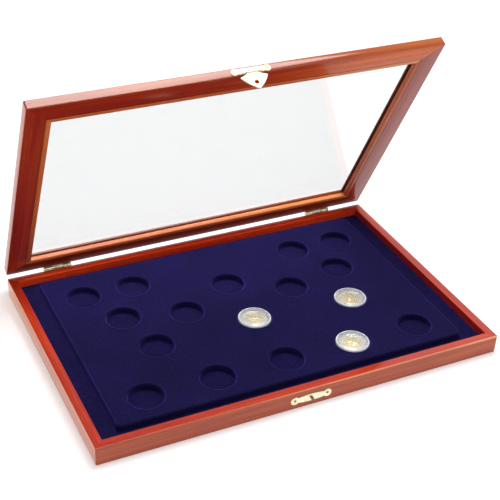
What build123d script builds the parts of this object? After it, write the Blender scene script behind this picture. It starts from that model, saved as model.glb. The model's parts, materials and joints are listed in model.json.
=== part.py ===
"""Glazed coin display case: a low wooden box with a flocked coin tray and a hinged glass lid.

Frame: +X to the right, -Y to the front, +Y to the hinges, +Z up, millimetres.
The origin is the centre of the underside. The lid is drawn closed and then opened.
"""

import os

from build123d import *

# ---- driving dimensions ----------------------------------------------------------------
case_width = 400.0
case_depth = 263.0
corner_radius = 1.5
margin = 1.0  # how far cutting and selecting shapes reach past what they meet
tolerance = 1e-4

base_height = 18.4
base_wall = 8.7
base_outer_round = 0.6
base_inner_round = 0.6
base_foot_chamfer = 0.4
rabbet_depth = 4.0
panel_thickness = 3.0
felt_thickness = 1.2
panel_clearance = 0.2

lid_thickness = 8.8
lid_gap = 0.5
lid_open_angle = 63.2
lid_rail_width = 18.5
lid_back_rail_width = 13.6
lid_outer_round = 0.6
lid_inner_round = 0.5
lid_lip_width = 6.5
lid_lip_round = 0.8
mitre_gap = 0.02
mitre_reach = 30.0

bead_width = 4.8
bead_height = 4.6
bead_round = 0.5
bead_back_round = 0.3
glass_thickness = 2.0
glass_chamfer = 0.2
glass_edge_clearance = 0.6

tray_clearance = 0.3
tray_sheet = 1.0
tray_floor_top = 10.4
plateau_top = 16.3
plateau_half_width = 174.0
plateau_front = -112.5
plateau_back = 116.3
plateau_corner_radius = 4.0
plateau_edge_round = 1.3
plateau_draft = 6.0
pocket_radius = 16.2
pocket_round = 0.8
backing_clearance = 0.5

capsule_radius = 15.9
capsule_height = 6.5
capsule_wall = 0.9
capsule_rim_width = 1.9
window_recess = 1.1
window_thickness = 1.0
capsule_seat_wall = 0.8
capsule_foot_chamfer = 0.3
capsule_rim_round = 0.4
coin_radius = 12.875
coin_thickness = 2.2
coin_core_radius = 9.375
coin_rim_width = 0.9
coin_rim_height = 0.15
coin_clearance = 0.1

hinge_offset = 2.9
hinge_spread = 148.0
hinge_width = 28.0
knuckle_radius = 2.4
knuckle_gap = 0.2
middle_knuckle = 10.6
hinge_pin_radius = 1.0
pin_clearance = 0.05
pin_head_radius = 1.4
pin_head_height = 0.6
leaf_thickness = 1.0
leaf_height = 6.9
leaf_corner = 0.9
leaf_notch = 0.2
leaf_web = 1.2
screw_spread = 9.0
screw_drop = 4.6
screw_head_radius = 1.5
screw_head_height = 0.5
screw_shank_radius = 0.8
screw_length = 6.0
screw_slot_width = 0.4
screw_slot_floor = 0.22
fastener_clearance = 0.04
pilot_depth_extra = 0.5
head_edge = 0.12
dome_middle_radius = 0.62  # a domed head's arc passes this share of its radius
dome_middle_height = 0.72  # at this share of its height

hasp_plate_thickness = 0.8
hasp_plate_height = 7.2
hasp_plate_bottom = 0.4
hasp_body_half = 13.0
hasp_waist = 5.6
hasp_ear_x = 15.6
hasp_ear_radius = 3.6
hasp_axis_height = 1.3
hasp_axis_offset = 1.35
hasp_knuckle_radius = 1.3
hasp_pin_radius = 0.55
flap_knuckle_half = 5.8
hasp_knuckle_outer = 10.0
hasp_knuckle_gap = 0.2
hasp_knuckle_clearance = 0.25
hasp_pin_overhang = 0.3
flap_thickness = 0.8
flap_half_width = 12.7
flap_shoulder = 4.6
flap_length = 18.6
flap_hole_radius = 2.0
flap_neck_drop = 1.6
flap_bulge_half = 8.4
flap_bulge_drop = 11.9
flap_tip_half = 1.6
flap_tip_rise = 0.5
flap_tip_middle = (0.88, 0.12)

catch_thickness = 0.7
catch_body_half = 13.2
catch_plate_height = 7.6
catch_waist = 5.4
catch_ear_x = 16.2
catch_ear_radius = 4.1
catch_height = 8.8
knob_radius = 1.45
knob_length = 3.5
knob_depth = 4.0
knob_hole_depth = 4.2
knob_nose_round = 1.0
nail_head_radius = 1.15
nail_head_height = 0.5
nail_shank_radius = 0.5
nail_length = 5.0

# Pocket centres, row by row from the front: one offset list for each row's height on the tray.
pocket_rows = {
    -83.4: (-137.2, -69.0, 0.0, 69.0, 137.2),
    -20.6: (-102.4, 102.4),
    -15.4: (0.0,),
    17.3: (-56.4, 56.4),
    31.0: (-116.0, 116.0),
    46.0: (0.0,),
    77.1: (-139.9, -89.0, 89.0, 139.9),
}
filled_pockets = ((0.0, -15.4), (102.4, -20.6), (69.0, -83.4))

# ---- derived places --------------------------------------------------------------------
half_width = case_width / 2
half_depth = case_depth / 2
lid_bottom = base_height + lid_gap
lid_top = lid_bottom + lid_thickness
hinge_y = half_depth + hinge_offset
hinge_z = base_height
hinge_axis = Axis((0, hinge_y, hinge_z), (-1, 0, 0))
inner_half_width = half_width - base_wall
inner_half_depth = half_depth - base_wall
backing_bottom = felt_thickness + panel_thickness
backing_top = tray_floor_top - tray_sheet
glass_bottom = lid_bottom + bead_height
glass_top = glass_bottom + glass_thickness
hasp_y = -half_depth - hasp_axis_offset
hasp_z = lid_bottom + hasp_axis_height
hasp_plate_middle = lid_bottom + hasp_plate_bottom + hasp_plate_height / 2
pockets = [(x, y) for y, row in pocket_rows.items() for x in row]


def block(x, y, z):
    """A box from its low and high limits on each axis."""
    middle = ((x[0] + x[1]) / 2, (y[0] + y[1]) / 2, (z[0] + z[1]) / 2)
    return Pos(*middle) * Box(x[1] - x[0], y[1] - y[0], z[1] - z[0])


def slab(half_x, half_y, z, radius=0.0):
    """A centred plate with rounded corners between two heights."""
    outline = Rectangle(2 * half_x, 2 * half_y)
    if radius:
        outline = fillet(outline.vertices(), radius)
    return Pos(0, 0, z[0]) * extrude(outline, z[1] - z[0])


def rod_x(x, y, z, radius):
    """A cylinder along X between two x limits."""
    turned = Rot(0, 90, 0) * Cylinder(radius, x[1] - x[0])
    return Pos((x[0] + x[1]) / 2, y, z) * turned


def rod_y(x, y, z, radius):
    """A cylinder along Y between two y limits."""
    turned = Rot(90, 0, 0) * Cylinder(radius, y[1] - y[0])
    return Pos(x, (y[0] + y[1]) / 2, z) * turned


def disc(radius, z):
    """A cylinder along Z between two heights."""
    return Pos(0, 0, (z[0] + z[1]) / 2) * Cylinder(radius, z[1] - z[0])


def opened(shape):
    """Turn a piece drawn on the closed lid to the open pose."""
    return shape.rotate(hinge_axis, lid_open_angle)


def edges_at(shape, height):
    """The edges that lie flat at one height."""
    def flat(edge):
        box = edge.bounding_box()
        return abs(box.min.Z - height) < tolerance and abs(box.max.Z - height) < tolerance
    return shape.edges().filter_by(flat)


def in_plan(edges, low, high):
    """Of some edges, those that fit inside a rectangle in plan."""
    def fits(edge):
        box = edge.bounding_box()
        beyond_low = box.min.X > low[0] and box.min.Y > low[1]
        return beyond_low and box.max.X < high[0] and box.max.Y < high[1]
    return edges.filter_by(fits)


def mitre_line(xs, ys, shift_x, shift_y):
    """The points of one mitre, moved to leave half of its gap."""
    return [(x + shift_x, y + shift_y) for x, y in zip(xs, ys)]


def mitred(ring, prefix, corners):
    """Cut a ring into four rails along mitre lines.

    Each mitre runs through corners given from the outside in, as insets from the case's
    sides, front and back.
    """
    low, high = ring.bounding_box().min.Z - margin, ring.bounding_box().max.Z + margin
    right = [half_width - side for side, front, back in corners]
    left = [-x for x in right]
    front = [front - half_depth for side, front, back in corners]
    back = [half_depth - back for side, front, back in corners]
    gap = mitre_gap
    ends = {
        "front_rail": (mitre_line(right, front, -gap, 0), mitre_line(left, front, gap, 0)),
        "right_rail": (mitre_line(right, back, 0, -gap), mitre_line(right, front, 0, gap)),
        "back_rail": (mitre_line(left, back, gap, 0), mitre_line(right, back, -gap, 0)),
        "left_rail": (mitre_line(left, front, 0, gap), mitre_line(left, back, 0, -gap)),
    }
    rails = {}
    for side, (start, end) in ends.items():
        wedge = Polygon(*start, *reversed(end), align=None)
        rails[f"{prefix}_{side}"] = ring & (Pos(0, 0, low) * extrude(wedge, high - low))
    return rails


# ---- base ------------------------------------------------------------------------------
def base_frame():
    """Four mitred rails with a rabbet underneath for the bottom panel."""
    ring = slab(half_width, half_depth, (0, base_height), corner_radius)
    ring = fillet(edges_at(ring, base_height), base_outer_round)
    ring = chamfer(edges_at(ring, 0), base_foot_chamfer)
    ring = ring - slab(inner_half_width, inner_half_depth, (-margin, base_height + margin))
    seat_x = inner_half_width + rabbet_depth
    seat_y = inner_half_depth + rabbet_depth
    ring = ring - slab(seat_x, seat_y, (-margin, backing_bottom))
    mouth = in_plan(edges_at(ring, base_height), (-seat_x, -seat_y), (seat_x, seat_y))
    ring = fillet(mouth, base_inner_round)
    return mitred(ring, "base", [3 * (-margin,), 3 * (mitre_reach,)])


def bottom_panel():
    """Thin board that closes the base, in the rails' rabbet."""
    half_x = inner_half_width + rabbet_depth - panel_clearance
    half_y = inner_half_depth + rabbet_depth - panel_clearance
    return slab(half_x, half_y, (felt_thickness, backing_bottom))


def felt_pad():
    """Felt glued under the board, flush with the rails."""
    half_x = inner_half_width + rabbet_depth - panel_clearance
    half_y = inner_half_depth + rabbet_depth - panel_clearance
    return slab(half_x, half_y, (0, felt_thickness))


def tray_backing():
    """Foam board that carries the tray."""
    half_x = inner_half_width - backing_clearance
    half_y = inner_half_depth - backing_clearance
    return slab(half_x, half_y, (backing_bottom, backing_top))


def plateau(shrink, low, high):
    """The tray's raised middle, tapered inwards towards its top."""
    width = 2 * (plateau_half_width - shrink)
    depth = plateau_back - plateau_front - 2 * shrink
    outline = fillet(Rectangle(width, depth).vertices(), plateau_corner_radius - shrink)
    solid = extrude(outline, high - low, taper=plateau_draft)
    return Pos(0, (plateau_front + plateau_back) / 2, low) * solid


def coin_tray():
    """Vacuum-formed sheet: a perimeter channel, a raised plateau and the coin pockets."""
    half_x = inner_half_width - tray_clearance
    half_y = inner_half_depth - tray_clearance
    flange = slab(half_x, half_y, (backing_top, tray_floor_top))
    raised = plateau(0, tray_floor_top, plateau_top)
    raised = fillet(edges_at(raised, plateau_top), plateau_edge_round)
    tray = flange + raised
    tray = tray - plateau(tray_sheet, backing_top, plateau_top - tray_sheet)
    for x, y in pockets:
        cup = disc(pocket_radius + tray_sheet, (backing_top, plateau_top - tray_sheet / 2))
        tray = tray + Pos(x, y) * cup
    for x, y in pockets:
        tray = tray - Pos(x, y) * disc(pocket_radius, (tray_floor_top, plateau_top + margin))
    circles = edges_at(tray, plateau_top).filter_by(GeomType.CIRCLE)
    mouths = circles.filter_by(lambda edge: abs(edge.radius - pocket_radius) < tolerance)
    return fillet(mouths, pocket_round)


# ---- lid -------------------------------------------------------------------------------
def lid_window(inset):
    """Low and high corners in plan of the glass seat, drawn in by an inset."""
    x = half_width - lid_rail_width - inset
    low_y = -half_depth + lid_rail_width + inset
    high_y = half_depth - lid_back_rail_width - inset
    return (-x, low_y), (x, high_y)


def window_block(inset, z):
    """The lid's window as a block between two heights."""
    low, high = lid_window(inset)
    return block((low[0], high[0]), (low[1], high[1]), z)


def seat_corner(inset):
    """The glass seat's corner as insets from the case's sides, front and back."""
    return lid_rail_width + inset, lid_rail_width + inset, lid_back_rail_width + inset


def lid_frame():
    """Four mitred rails, rabbeted underneath so that the glass sits against a thin lip."""
    ring = slab(half_width, half_depth, (lid_bottom, lid_top), corner_radius)
    ring = fillet(edges_at(ring, lid_top), lid_outer_round)
    ring = fillet(edges_at(ring, lid_bottom), lid_inner_round)
    ring = ring - window_block(lid_lip_width, (lid_bottom - margin, lid_top + margin))
    ring = ring - window_block(0, (lid_bottom - margin, glass_top))
    ring = fillet(in_plan(edges_at(ring, lid_top), *lid_window(margin)), lid_lip_round)
    ring = fillet(in_plan(edges_at(ring, lid_bottom), *lid_window(-margin)), bead_back_round)
    outside = 3 * (-margin,)
    return mitred(ring, "lid", [outside, (0, 0, 0), seat_corner(0), seat_corner(lid_lip_width + margin)])


def glazing_beads():
    """Four mitred strips that hold the glass in its rabbet."""
    ring = window_block(0, (lid_bottom, glass_bottom))
    ring = fillet(edges_at(ring, lid_bottom), bead_back_round)
    ring = ring - window_block(bead_width, (lid_bottom - margin, glass_bottom + margin))
    ring = fillet(in_plan(edges_at(ring, lid_bottom), *lid_window(margin)), bead_round)
    return mitred(ring, "bead", [seat_corner(-margin), seat_corner(bead_width + margin)])


def glass_pane():
    """The lid's sheet of glass."""
    pane = window_block(glass_edge_clearance, (glass_bottom, glass_top))
    return chamfer(edges_at(pane, glass_bottom) + edges_at(pane, glass_top), glass_chamfer)


# ---- fasteners -------------------------------------------------------------------------
def domed_head(radius, height, shank_radius, length):
    """A round-headed nail or screw along +Y: head from y = 0 to -height, shank to +length."""
    middle = (radius * dome_middle_radius, -height * dome_middle_height)
    crown = ThreePointArc((0, -height), middle, (radius, -head_edge))
    shank = ((shank_radius, 0), (shank_radius, length), (0, length))
    rest = Polyline((radius, -head_edge), (radius, 0), *shank, (0, -height))
    return revolve(make_face([crown, rest]), Axis.Y)


def screw():
    """Slotted brass wood screw."""
    body = domed_head(screw_head_radius, screw_head_height, screw_shank_radius, screw_length)
    across = screw_head_radius + margin
    half_slot = screw_slot_width / 2
    depth = (-screw_head_height - margin, -screw_slot_floor)
    return body - block((-across, across), depth, (-half_slot, half_slot))


def nail():
    """Round-headed escutcheon nail."""
    return domed_head(nail_head_radius, nail_head_height, nail_shank_radius, nail_length)


def group(solids):
    """Several separate solids as one node."""
    return Compound([part for solid in solids for part in solid.solids()])


# ---- hinges ----------------------------------------------------------------------------
def knuckle_spans():
    """The x limits of a hinge's left, middle and right knuckles about its centre."""
    inner = middle_knuckle / 2
    outer = hinge_width / 2
    return (-outer, -inner - knuckle_gap), (-inner, inner), (inner + knuckle_gap, outer)


def screw_places(hinge_x, side):
    """The two screw positions of a leaf; side is -1 on the base and +1 on the lid."""
    return [(hinge_x + s * screw_spread, hinge_z + side * screw_drop) for s in (-1, 1)]


def hinge_leaf(hinge_x, side):
    """A leaf on the back face with its own knuckles: two on the base, one on the lid."""
    left, middle, right = knuckle_spans()
    own = (left, right) if side < 0 else (middle,)
    back = (half_depth, half_depth + leaf_thickness)
    near = hinge_z + side * (knuckle_radius + leaf_notch)
    far = hinge_z + side * leaf_height
    half = hinge_width / 2
    leaf = block((-half, half), back, sorted((near, far)))
    rounded = leaf.edges().filter_by(Axis.Y).sort_by(Axis.Z)
    rounded = rounded[:2] if side < 0 else rounded[-2:]
    leaf = fillet(rounded, leaf_corner)
    for span in own:
        leaf = leaf + block(span, back, sorted((hinge_z, near)))
        web = sorted((hinge_z, hinge_z + side * leaf_web))
        leaf = leaf + block(span, (half_depth, hinge_y), web)
        leaf = leaf + rod_x(span, hinge_y, hinge_z, knuckle_radius)
    bore_radius = hinge_pin_radius + pin_clearance
    leaf = leaf - rod_x((-half - margin, half + margin), hinge_y, hinge_z, bore_radius)
    leaf = Pos(hinge_x, 0, 0) * leaf
    for x, z in screw_places(hinge_x, side):
        through = (half_depth - margin, half_depth + leaf_thickness + margin)
        leaf = leaf - rod_y(x, through, z, screw_shank_radius + fastener_clearance)
    return leaf


def hinge_pin(hinge_x):
    """Pin through the three knuckles, with a shallow head clear of each end."""
    head_start = hinge_width / 2 + pin_clearance
    head_end = hinge_width / 2 + pin_head_height
    pin = rod_x((-head_end, head_end), hinge_y, hinge_z, hinge_pin_radius)
    for head in ((-head_end, -head_start), (head_start, head_end)):
        pin = pin + rod_x(head, hinge_y, hinge_z, pin_head_radius)
    return Pos(hinge_x, 0, 0) * pin


def leaf_screws(hinge_x, side):
    """The two screws of one leaf, driven into the back face."""
    face = half_depth + leaf_thickness
    return group([Pos(x, face, z) * Rot(0, 0, 180) * screw() for x, z in screw_places(hinge_x, side)])


def leaf_screw_holes(side):
    """Pilot holes of both hinges' screws on the base or on the lid."""
    holes = []
    for hinge_x in (-hinge_spread, hinge_spread):
        for x, z in screw_places(hinge_x, side):
            deep = (half_depth - screw_length - pilot_depth_extra, half_depth + margin)
            holes.append(rod_y(x, deep, z, screw_shank_radius + fastener_clearance))
    return holes


# ---- hasp on the lid and catch on the base ---------------------------------------------
def upright(outline, y_front, thickness):
    """Extrude an outline drawn in X and Z from its front face towards +Y."""
    flat = extrude(outline, thickness)
    return Pos(0, y_front, 0) * Rot(90, 0, 0) * Pos(0, 0, -thickness) * flat


def eared_outline(body_half, body_height, waist, ear_x, ear_radius):
    """A spindle-shaped band, narrower at its waists, with a round ear beyond each waist."""
    with BuildSketch() as sketch:
        with BuildLine():
            crown = ThreePointArc((-body_half, waist / 2), (0, body_height / 2), (body_half, waist / 2))
            Line(crown @ 1, (body_half, 0))
            Line(crown @ 0, (-body_half, 0))
            mirror(about=Plane.XZ)
        make_face()
        with Locations((-ear_x, 0), (ear_x, 0)):
            Circle(ear_radius)
    return sketch.sketch


def nail_places(ear_x, z):
    """The two nail positions of an eared plate."""
    return [(-ear_x, z), (ear_x, z)]


def eared_plate(outline, z, thickness, ear_x):
    """A thin plate on the front face, pierced for its nails."""
    plate = upright(outline, -half_depth - thickness, thickness)
    plate = Pos(0, 0, z) * plate
    through = (-half_depth - thickness - margin, -half_depth + margin)
    for x, nail_z in nail_places(ear_x, z):
        plate = plate - rod_y(x, through, nail_z, nail_shank_radius + fastener_clearance)
    return plate


def plate_nails(ear_x, z, thickness):
    """Two nails through an eared plate."""
    face = -half_depth - thickness
    return group([Pos(x, face, nail_z) * nail() for x, nail_z in nail_places(ear_x, z)])


def nail_holes(ear_x, z):
    """Pilot holes for an eared plate's nails."""
    deep = (-half_depth - margin, -half_depth + nail_length + pilot_depth_extra)
    radius = nail_shank_radius + fastener_clearance
    return [rod_y(x, deep, nail_z, radius) for x, nail_z in nail_places(ear_x, z)]


def hasp_plate():
    """Eared plate on the lid's front with two knuckles for the flap's pin."""
    outline = eared_outline(hasp_body_half, hasp_plate_height, hasp_waist, hasp_ear_x, hasp_ear_radius)
    plate = eared_plate(outline, hasp_plate_middle, hasp_plate_thickness, hasp_ear_x)
    clear_top = hasp_z + hasp_knuckle_radius + hasp_knuckle_clearance
    clear_half = flap_knuckle_half + hasp_knuckle_gap
    through = (-half_depth - hasp_plate_thickness - margin, -half_depth + margin)
    plate = plate - block((-clear_half, clear_half), through, (lid_bottom - margin, clear_top))
    for side in (-1, 1):
        ends = sorted((side * clear_half, side * hasp_knuckle_outer))
        plate = plate + rod_x(ends, hasp_y, hasp_z, hasp_knuckle_radius)
    return plate - rod_x((-half_width, half_width), hasp_y, hasp_z, hasp_pin_radius + pin_clearance)


def hasp_pin():
    """The flap's pin."""
    end = hasp_knuckle_outer + hasp_pin_overhang
    return rod_x((-end, end), hasp_y, hasp_z, hasp_pin_radius)


def flap_outline():
    """Shield: narrow at its knuckle, square shoulders, bulging sides and a rounded tip."""
    tip = -flap_length
    bulge = (flap_bulge_half, -flap_bulge_drop)
    tip_middle = (flap_tip_middle[0], tip + flap_tip_middle[1])
    with BuildSketch() as sketch:
        with BuildLine():
            knuckle = Line((0, 0), (flap_knuckle_half, 0))
            neck = Line(knuckle @ 1, (flap_knuckle_half, -flap_neck_drop))
            shoulder = Line(neck @ 1, (flap_half_width, -flap_shoulder))
            side = ThreePointArc(shoulder @ 1, bulge, (flap_tip_half, tip + flap_tip_rise))
            ThreePointArc(side @ 1, tip_middle, (0, tip))
            mirror(about=Plane.YZ)
        make_face()
    return sketch.sketch


def hasp_flap():
    """Pierced flap that hangs from the lid and drops over the catch's knob."""
    flap = upright(flap_outline(), -flap_thickness / 2, flap_thickness)
    flap = Pos(0, hasp_y, hasp_z) * flap
    ends = (-flap_knuckle_half, flap_knuckle_half)
    flap = flap + rod_x(ends, hasp_y, hasp_z, hasp_knuckle_radius)
    flap = flap - rod_x((-half_width, half_width), hasp_y, hasp_z, hasp_pin_radius + pin_clearance)
    through = (hasp_y - flap_thickness - margin, hasp_y + flap_thickness + margin)
    return flap - rod_y(0, through, catch_height, flap_hole_radius)


def catch_plate():
    """Eared plate on the base's front that carries the knob."""
    outline = eared_outline(catch_body_half, catch_plate_height, catch_waist, catch_ear_x, catch_ear_radius)
    plate = eared_plate(outline, catch_height, catch_thickness, catch_ear_x)
    through = (-half_depth - catch_thickness - margin, -half_depth + margin)
    return plate - rod_y(0, through, catch_height, knob_radius + fastener_clearance)


def catch_knob():
    """Round-nosed stud through the catch plate into the rail."""
    nose = -half_depth - knob_length
    stud = rod_y(0, (nose, -half_depth + knob_depth), catch_height, knob_radius)
    return fillet(stud.faces().sort_by(Axis.Y)[0].edges(), knob_nose_round)


# ---- coins in their capsules -----------------------------------------------------------
def capsule_bottom():
    """Lower half: foot ring, floor under the coin and a seat that centres it."""
    seat = coin_radius + coin_clearance
    floor_top = window_recess + window_thickness
    inner = capsule_radius - capsule_rim_width
    shell = disc(capsule_radius, (0, capsule_height / 2))
    shell = shell - disc(inner, (-margin, window_recess))
    shell = shell - disc(capsule_radius - capsule_wall, (floor_top, capsule_height))
    ring = disc(seat + capsule_seat_wall, (floor_top, floor_top + coin_thickness))
    shell = shell + ring - disc(seat, (floor_top, capsule_height))
    return chamfer(edges_at(shell, 0).sort_by(SortBy.LENGTH)[-1:], capsule_foot_chamfer)


def capsule_top():
    """Upper half: rim ring, window over the coin and a skirt down to the lower half."""
    window_low = capsule_height - window_recess - window_thickness
    inner = capsule_radius - capsule_rim_width
    shell = disc(capsule_radius, (capsule_height / 2, capsule_height))
    shell = shell - disc(inner, (capsule_height - window_recess, capsule_height + margin))
    shell = shell - disc(capsule_radius - capsule_wall, (0, window_low))
    rim = edges_at(shell, capsule_height)
    return fillet(rim, capsule_rim_round)


def coin_ring():
    """Outer ring of a two-metal coin, with a raised rim on both faces."""
    inside_rim = coin_radius - coin_rim_width
    ring = disc(coin_radius, (0, coin_thickness)) - disc(inside_rim, (-margin, coin_rim_height))
    ring = ring - disc(inside_rim, (coin_thickness - coin_rim_height, coin_thickness + margin))
    return ring - disc(coin_core_radius, (-margin, coin_thickness + margin))


def coin_core():
    """Inner disc of a two-metal coin."""
    return disc(coin_core_radius, (coin_rim_height, coin_thickness - coin_rim_height))


def capsule_pieces(number, x, y):
    """One filled capsule standing in its pocket."""
    place = Pos(x, y, tray_floor_top)
    coin_place = place * Pos(0, 0, window_recess + window_thickness)
    return {
        f"capsule_{number}_bottom": place * capsule_bottom(),
        f"capsule_{number}_top": place * capsule_top(),
        f"coin_{number}_ring": coin_place * coin_ring(),
        f"coin_{number}_core": coin_place * coin_core(),
    }


# ---- assembly --------------------------------------------------------------------------
def drilled(piece, holes):
    """A rail with its pilot holes."""
    for hole in holes:
        piece = piece - hole
    return piece


def all_nodes():
    """Every node of the case, by name, in the open pose."""
    nodes = base_frame()
    knob_deep = (-half_depth - margin, -half_depth + knob_hole_depth)
    knob_hole = rod_y(0, knob_deep, catch_height, knob_radius + fastener_clearance)
    catch_holes = nail_holes(catch_ear_x, catch_height) + [knob_hole]
    nodes["base_front_rail"] = drilled(nodes["base_front_rail"], catch_holes)
    nodes["base_back_rail"] = drilled(nodes["base_back_rail"], leaf_screw_holes(-1))
    nodes["base_bottom_panel"] = bottom_panel()
    nodes["base_felt_pad"] = felt_pad()
    nodes["tray_backing"] = tray_backing()
    nodes["coin_tray"] = coin_tray()
    nodes["catch_plate"] = catch_plate()
    nodes["catch_knob"] = catch_knob()
    nodes["catch_nails"] = plate_nails(catch_ear_x, catch_height, catch_thickness)

    lid = lid_frame()
    lid["lid_front_rail"] = drilled(lid["lid_front_rail"], nail_holes(hasp_ear_x, hasp_plate_middle))
    lid["lid_back_rail"] = drilled(lid["lid_back_rail"], leaf_screw_holes(1))
    lid.update(glazing_beads())
    lid["glass_pane"] = glass_pane()
    lid["hasp_plate"] = hasp_plate()
    lid["hasp_pin"] = hasp_pin()
    lid["hasp_flap"] = hasp_flap()
    lid["hasp_nails"] = plate_nails(hasp_ear_x, hasp_plate_middle, hasp_plate_thickness)

    for name, hinge_x in (("left", -hinge_spread), ("right", hinge_spread)):
        nodes[f"hinge_{name}_base_leaf"] = hinge_leaf(hinge_x, -1)
        nodes[f"hinge_{name}_pin"] = hinge_pin(hinge_x)
        nodes[f"hinge_{name}_base_screws"] = leaf_screws(hinge_x, -1)
        lid[f"hinge_{name}_lid_leaf"] = hinge_leaf(hinge_x, 1)
        lid[f"hinge_{name}_lid_screws"] = leaf_screws(hinge_x, 1)

    nodes.update({name: opened(shape) for name, shape in lid.items()})
    for number, (x, y) in enumerate(filled_pockets, start=1):
        nodes.update(capsule_pieces(number, x, y))
    return nodes


os.makedirs("parts", exist_ok=True)
for node_name, node_shape in all_nodes().items():
    export_step(node_shape, f"parts/{node_name}.step")
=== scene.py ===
"""Dressed model of the coin display case: wood, glass, flock, brass, capsules and coins.

Lengths are in millimetres until a mesh is made. Z is up, -Y is the front, and lid pieces are
drawn on the closed lid and then turned with it to the stored open pose.
"""

import json
import math

import bmesh
import bpy
import numpy as np
from mathutils import Matrix, Vector, geometry, noise


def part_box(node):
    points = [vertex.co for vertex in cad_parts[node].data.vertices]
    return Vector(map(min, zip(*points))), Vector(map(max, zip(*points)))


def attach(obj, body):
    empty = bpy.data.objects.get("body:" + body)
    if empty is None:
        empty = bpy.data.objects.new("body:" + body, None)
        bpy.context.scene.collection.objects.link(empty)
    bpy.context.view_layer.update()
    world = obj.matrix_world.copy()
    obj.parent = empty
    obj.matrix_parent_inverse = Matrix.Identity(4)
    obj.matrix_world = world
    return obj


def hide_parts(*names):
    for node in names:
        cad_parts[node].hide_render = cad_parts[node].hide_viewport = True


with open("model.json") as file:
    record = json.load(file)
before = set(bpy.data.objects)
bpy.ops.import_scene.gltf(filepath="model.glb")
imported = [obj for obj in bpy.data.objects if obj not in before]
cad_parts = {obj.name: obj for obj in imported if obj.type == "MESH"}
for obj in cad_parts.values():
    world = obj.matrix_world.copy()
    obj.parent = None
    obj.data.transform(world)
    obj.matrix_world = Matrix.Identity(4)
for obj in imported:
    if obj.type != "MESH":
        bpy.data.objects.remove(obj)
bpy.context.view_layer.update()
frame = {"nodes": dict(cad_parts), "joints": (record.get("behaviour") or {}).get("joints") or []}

MM = 0.001

# ---- sizes read from the frame ----
lid_joint = next(joint for joint in frame["joints"] if joint["name"] == "lid_hinge")
hinge_y = lid_joint["pos_m"][1] / MM
hinge_z = lid_joint["pos_m"][2] / MM
lid_angle = lid_joint["range_deg"][0]
half_width = -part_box("base_left_rail")[0][0] / MM
half_depth = -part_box("base_front_rail")[0][1] / MM
base_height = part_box("base_front_rail")[1][2] / MM
backing_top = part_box("tray_backing")[1][2] / MM
plateau_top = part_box("coin_tray")[1][2] / MM
tray_half_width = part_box("coin_tray")[1][0] / MM
tray_half_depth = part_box("coin_tray")[1][1] / MM

# ---- sizes that the wooden frames share ----
corner_round, mitre_groove = 1.5, 0.05
base_wall, rabbet_depth, rabbet_top = 8.7, 4.0, 4.2
lid_gap, lid_thickness, lid_lip_width = 0.5, 8.8, 6.5
lid_rail, lid_back_rail = 18.5, 13.6
bead_width, bead_height, glass_thickness = 4.8, 4.6, 2.0
lid_bottom = base_height + lid_gap

# ---- tray and pockets ----
tray_sheet = 1.0
channel_level = backing_top + tray_sheet
tray_area = ((-tray_half_width, -tray_half_depth), (tray_half_width, tray_half_depth))
plateau_area = ((-174.0, -112.5), (174.0, 116.3))
plateau_corner = 5.0
pocket_radius = 16.2
pocket_rows = {
    -83.4: (-137.2, -69.0, 0.0, 69.0, 137.2),
    -20.6: (-102.4, 102.4),
    -15.4: (0.0,),
    17.3: (-56.4, 56.4),
    31.0: (-116.0, 116.0),
    46.0: (0.0,),
    77.1: (-139.9, -89.0, 89.0, 139.9),
}
pockets = [(x, y) for y, row in pocket_rows.items() for x in row]


# ---- geometry helpers ----
def at(x, y, z):
    """A move in millimetres, as a matrix in metres."""
    return Matrix.Translation(Vector((x, y, z)) * MM)


def turned(degrees, axis):
    """A turn about one axis."""
    return Matrix.Rotation(math.radians(degrees), 4, axis)


def arc(centre, radius, start, end, steps):
    """Points on a circle between two angles in degrees, both ends included."""
    turns = [math.radians(start + (end - start) * i / steps) for i in range(steps + 1)]
    return [(centre[0] + radius * math.cos(t), centre[1] + radius * math.sin(t)) for t in turns]


def circle(x, y, radius, steps):
    """A closed ring of points."""
    return arc((x, y), radius, 0, 360, steps)[:-1]


def quarter_turn(steps):
    """What the sine and the cosine lack of 1 at even steps through a right angle."""
    turns = [math.radians(90 * k / steps) for k in range(steps + 1)]
    return [(1 - math.sin(t), 1 - math.cos(t)) for t in turns]


def rounded(corners, steps=4):
    """An outline from corners (x, y, radius), each turned by an arc of its radius."""
    points = []
    count = len(corners)
    for i, (x, y, radius) in enumerate(corners):
        here = Vector((x, y))
        if radius <= 0:
            points.append((x, y))
            continue
        before = (Vector(corners[i - 1][:2]) - here).normalized()
        after = (Vector(corners[(i + 1) % count][:2]) - here).normalized()
        half = before.angle(after) / 2
        centre = here + (before + after).normalized() * (radius / math.sin(half))
        first = here + before * (radius / math.tan(half)) - centre
        last = here + after * (radius / math.tan(half)) - centre
        sweep = first.angle_signed(last)
        start = math.atan2(first.y, first.x)
        for k in range(steps + 1):
            t = start - sweep * k / steps
            points.append((centre.x + radius * math.cos(t), centre.y + radius * math.sin(t)))
    return points


def rounded_box(low, high, radius):
    """A rounded rectangle between two corners."""
    corners = ((low[0], low[1]), (low[0], high[1]), (high[0], high[1]), (high[0], low[1]))
    return rounded([(x, y, radius) for x, y in corners])


def smooth_step(value, low, high):
    """0 below low, 1 above high, and a smooth rise between."""
    t = np.clip((value - low) / (high - low), 0, 1)
    return t * t * (3 - 2 * t)


def ridge(value, middle, width):
    """A rounded ridge of height 1 about one value."""
    t = np.clip(1 - np.abs(value - middle) / width, 0, 1)
    return t * t * (3 - 2 * t)


def loop_faces(rings):
    """Faces between rings of point numbers, which may repeat."""
    faces = []
    for low, high in zip(rings, rings[1:]):
        for i in range(len(low)):
            j = (i + 1) % len(low)
            face = list(dict.fromkeys((low[i], low[j], high[j], high[i])))
            if len(face) > 2:
                faces.append(face)
    return faces


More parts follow.
